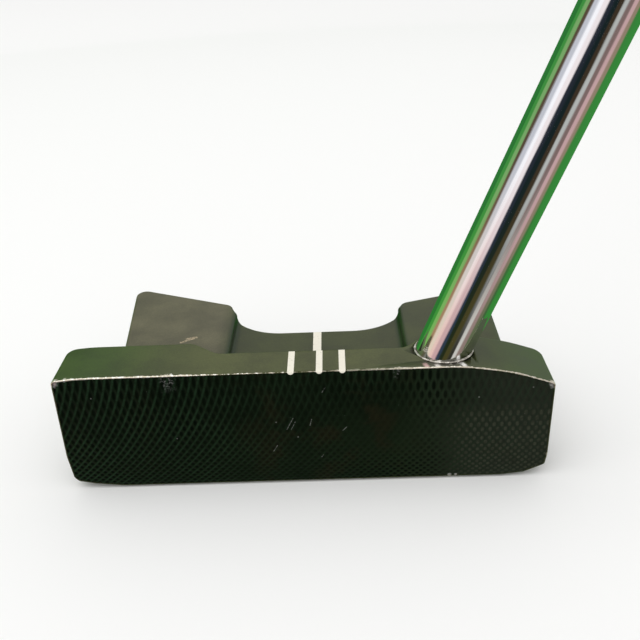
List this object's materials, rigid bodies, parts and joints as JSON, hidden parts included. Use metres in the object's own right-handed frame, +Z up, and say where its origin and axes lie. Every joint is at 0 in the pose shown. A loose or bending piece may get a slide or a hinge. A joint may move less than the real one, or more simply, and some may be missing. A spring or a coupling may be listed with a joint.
{
  "type": "golf putter",
  "caption": "Right-handed blade putter: milled face, lower flange between two raised wings, painted sight lines, straight chromed shaft and rubber grip.",
  "frame": {"origin": "on the ground under the middle of the flange line, on the sole's flat area, with the club soled at address", "axes": "+X towards the heel, +Y away from the target side of the face, +Z up; the face looks towards -Y and the shaft leans towards +X"},
  "size_m": [0.3964, 0.0541, 0.8078],
  "materials": {
    "blackened_metal": "dark satin, crossed milling arcs on the face, bare metal along worn edges",
    "cream_paint": "semi-gloss paint fill",
    "clear_bond": "cured resin",
    "chrome": "bright plated",
    "plug_plastic": "matt",
    "tape": "creped paper",
    "grip_rubber": "matt, finely textured",
    "cap_rubber": "matt, moulded"
  },
  "bodies": {
    "root": {"head_body": "blackened_metal", "sight_line_toe": "cream_paint", "sight_line_centre": "cream_paint", "sight_line_heel": "cream_paint", "flange_sight_line": "cream_paint", "shaft_epoxy": "clear_bond", "shaft": "chrome", "tip_plug": "plug_plastic", "grip_tape": "tape", "grip": "grip_rubber", "grip_cap": "cap_rubber"}
  },
  "joints": []
}
